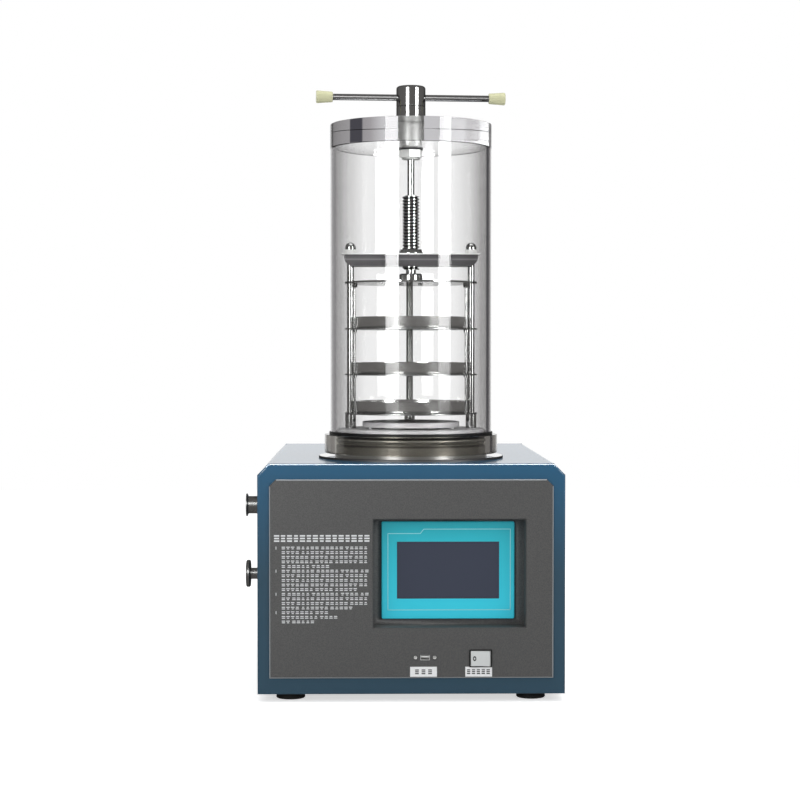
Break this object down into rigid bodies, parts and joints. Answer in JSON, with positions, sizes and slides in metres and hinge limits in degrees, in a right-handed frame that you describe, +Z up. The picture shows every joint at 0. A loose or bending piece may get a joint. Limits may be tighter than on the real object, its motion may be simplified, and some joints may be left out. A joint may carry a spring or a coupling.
{
  "type": "benchtop freeze dryer",
  "caption": "Benchtop freeze dryer: box cabinet with a screen, a clear upright chamber with stacked trays, and a screw press turned from a tee handle on the lid.",
  "frame": {"origin": "on the bench under the middle of the machine's bounding box", "axes": "+Z up, -Y towards the front panel, +X to the user's right"},
  "size_m": [0.4836, 0.629, 0.9413],
  "materials": {
    "blue_enamel": "satin",
    "grey_enamel": "satin metallic",
    "zinc_steel": "satin",
    "black_rubber": "matt",
    "teal_moulding": "gloss",
    "display_glass": "gloss",
    "nickel_steel": "bright",
    "black_plastic": "matt",
    "grey_plastic": "gloss",
    "stainless_satin": "brushed",
    "stainless_polished": "polished",
    "clear_acrylic": "clear",
    "ivory_plastic": "gloss",
    "copper": "satin",
    "aluminium_fins": "bright",
    "black_enamel": "gloss",
    "grey_foam": "matt",
    "green_board": "satin"
  },
  "bodies": {
    "machine": {"acorn_nuts": "stainless_polished", "base_flange": "stainless_satin", "base_plate": "stainless_satin", "base_tray": "zinc_steel", "bridge": "stainless_satin", "bridge_nut": "stainless_polished", "cabinet_cover": "blue_enamel", "chamber_tube": "clear_acrylic", "cold_trap": "stainless_satin", "compressor": "black_enamel", "compressor_grommets": "black_rubber", "condenser": "aluminium_fins", "control_board": "green_board", "discharge_pipe": "copper", "drain_port": "stainless_satin", "evaporator_coil": "copper", "fan_motor": "black_plastic", "fan_shroud": "zinc_steel", "feet": "black_rubber", "front_frame": "blue_enamel", "front_panel": "grey_enamel", "gasket": "black_rubber", "gland": "stainless_polished", "gland_nut": "stainless_polished", "gland_washer": "stainless_polished", "lid": "clear_acrylic", "liquid_line": "copper", "post_back": "stainless_polished", "post_sleeves": "stainless_polished", "power_inlet": "black_plastic", "rear_panel": "blue_enamel", "screen_display": "display_glass", "screen_recess": "zinc_steel", "screen_unit": "teal_moulding", "seal_ring": "clear_acrylic", "shelf_bottom": "stainless_satin", "side_posts": "stainless_polished", "suction_pipe": "copper", "switch_body": "black_plastic", "trap_cover": "stainless_polished", "trap_jacket": "grey_foam", "tray_bottom": "stainless_satin", "trim_plate": "stainless_polished", "usb_socket": "nickel_steel", "vacuum_port": "stainless_satin"},
    "handle": {"handle_hub": "stainless_polished", "handle_bar": "stainless_polished", "handle_knobs": "ivory_plastic", "drive_rod": "stainless_satin"},
    "press": {"press_plate": "stainless_polished", "screw_foot_cap": "stainless_polished", "hanger_rods": "stainless_polished", "hanger_collars": "stainless_polished", "shelf_upper": "stainless_satin", "shelf_middle": "stainless_satin", "tray_upper": "stainless_satin", "tray_middle": "stainless_satin"},
    "screw": {"press_screw": "stainless_satin"},
    "rocker": {"switch_rocker": "grey_plastic"},
    "fan": {"fan": "black_plastic"}
  },
  "joints": [
    {"name": "handle_turn", "type": "hinge", "parent": "machine", "child": "handle", "pos_m": [0.01475, -0.1265, 0.9244], "axis": [0, 0, -1], "range_deg": [-720, 1080]},
    {"name": "press_travel", "type": "slide", "parent": "machine", "child": "press", "axis": [0, 0, -1], "range_m": [-0.01001, 0.01501]},
    {"name": "screw_turn", "type": "hinge", "parent": "press", "child": "screw", "pos_m": [0.01475, -0.1265, 0.7], "axis": [0, 0, -1], "range_deg": [-720, 1080]},
    {"name": "switch_rock", "type": "hinge", "parent": "machine", "child": "rocker", "pos_m": [0.11495, -0.3073, 0.0663], "axis": [0, 0, 1], "range_deg": [0, 15]},
    {"name": "fan_spin", "type": "hinge", "parent": "machine", "child": "fan", "pos_m": [-0.05825, 0.291, 0.152], "axis": [0, 1, 0], "continuous": true}
  ],
  "couplings": [
    {"joint": "press_travel", "follows": "handle_turn", "m_per_rad": 0.00079577},
    {"joint": "screw_turn", "follows": "handle_turn", "ratio": 1}
  ]
}
